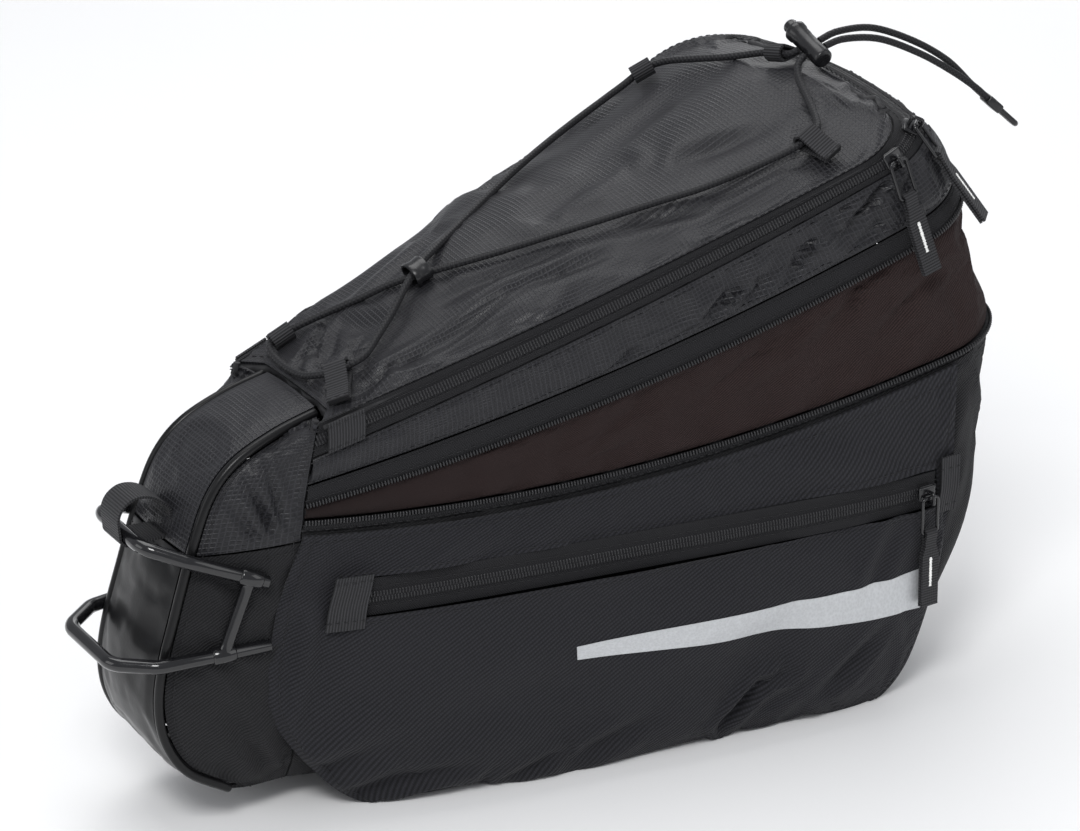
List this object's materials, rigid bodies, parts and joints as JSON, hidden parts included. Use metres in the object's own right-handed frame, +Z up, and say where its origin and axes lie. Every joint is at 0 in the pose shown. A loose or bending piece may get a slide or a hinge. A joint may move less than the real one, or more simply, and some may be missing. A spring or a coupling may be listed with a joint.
{
  "type": "bicycle seat post bag",
  "caption": "Wedge-shaped fabric bag that hangs behind a seat post on a bent wire frame, with side pockets, an open expansion zip and a bungee over the lid.",
  "frame": {"origin": "on the surface that the bag stands on, under the middle of its length and width without the two loose cord tails", "axes": "+X to the rear of the bicycle, away from the seat post; +Z up; +Y to the bag's right"},
  "size_m": [0.4705, 0.204, 0.2966],
  "materials": {
    "twill": "dark grey twill weave",
    "pocket_twill": "coarse dark grey twill weave, faintly blue",
    "ripstop": "charcoal ripstop weave with a fine grid",
    "satin": "smooth coated black cloth with a satin sheen",
    "maroon_twill": "dark maroon brown twill weave",
    "zip_tape": "woven black zip tape with coil teeth",
    "webbing": "ribbed black webbing",
    "braided_cord": "braided black elastic cord",
    "reflective_strip": "silver grey reflective tape",
    "black_metal": "gloss black enamelled metal",
    "frame_enamel": "gloss black coated steel rod",
    "black_plastic": "gloss black moulded plastic"
  },
  "bodies": {
    "bag": {"base_panel": "twill", "body_wall": "twill", "front_band_lower": "satin", "front_band_upper": "ripstop", "piping_left": "satin", "piping_right": "satin", "side_front_lower_left": "twill", "side_front_lower_right": "twill", "side_front_upper_left": "ripstop", "side_front_upper_right": "ripstop", "gusset": "maroon_twill", "upper_band": "ripstop", "lid": "ripstop", "lid_zip": "zip_tape", "expansion_zip_lower": "zip_tape", "expansion_zip_upper": "zip_tape", "pocket_left": "pocket_twill", "pocket_right": "pocket_twill", "pocket_zip_left": "zip_tape", "pocket_zip_right": "zip_tape", "lid_zip_tab_left": "webbing", "lid_zip_tab_right": "webbing", "pocket_zip_tab_left": "webbing", "pocket_zip_tab_right": "webbing", "zip_garage_left": "webbing", "zip_garage_right": "webbing", "reflective_strip_left": "reflective_strip", "reflective_strip_right": "reflective_strip", "cord_loop_front_left": "webbing", "cord_loop_front_right": "webbing", "cord_loop_middle_left": "webbing", "cord_loop_middle_right": "webbing", "cord_loop_rear": "webbing", "bungee_cord": "braided_cord", "bungee_tail_left": "braided_cord", "bungee_tail_right": "braided_cord", "cord_cross_clip": "black_plastic", "cord_lock_barrel": "black_plastic", "cord_end": "black_plastic", "lid_side_slider": "black_metal", "lid_rear_slider": "black_metal", "pocket_left_slider": "black_metal", "pocket_right_slider": "black_metal", "wire_frame": "frame_enamel", "frame_strap": "webbing"},
    "lock_button": {"cord_lock_button": "black_plastic"},
    "lid_side_pull": {"lid_side_pull_loop": "black_metal", "lid_side_pull_strap": "webbing"},
    "lid_rear_pull": {"lid_rear_pull_loop": "black_metal", "lid_rear_pull_strap": "webbing"},
    "pocket_left_pull": {"pocket_left_pull_loop": "black_metal", "pocket_left_pull_strap": "webbing"},
    "pocket_right_pull": {"pocket_right_pull_loop": "black_metal", "pocket_right_pull_strap": "webbing"}
  },
  "joints": [
    {"name": "lock_button_press", "type": "slide", "parent": "bag", "child": "lock_button", "axis": [0, -0.9541, -0.2996], "range_m": [0, 0.003], "stiffness_N_per_m": 300},
    {"name": "lid_side_pull_swing", "type": "hinge", "parent": "bag", "child": "lid_side_pull", "pos_m": [0.14221, -0.08679, 0.26299], "axis": [-0.9704, -0.0111, -0.241], "range_deg": [0, 130]},
    {"name": "lid_rear_pull_swing", "type": "hinge", "parent": "bag", "child": "lid_rear_pull", "pos_m": [0.15997, -0.07523, 0.27338], "axis": [-0.7091, -0.7019, -0.0676], "range_deg": [0, 120]},
    {"name": "pocket_left_pull_swing", "type": "hinge", "parent": "bag", "child": "pocket_left_pull", "pos_m": [0.15929, -0.09867, 0.10245], "axis": [-1, -0.0071, 0.0002], "range_deg": [0, 130]},
    {"name": "pocket_right_pull_swing", "type": "hinge", "parent": "bag", "child": "pocket_right_pull", "pos_m": [0.15929, 0.09867, 0.10245], "axis": [1, -0.0071, -0.0002], "range_deg": [0, 130]}
  ]
}
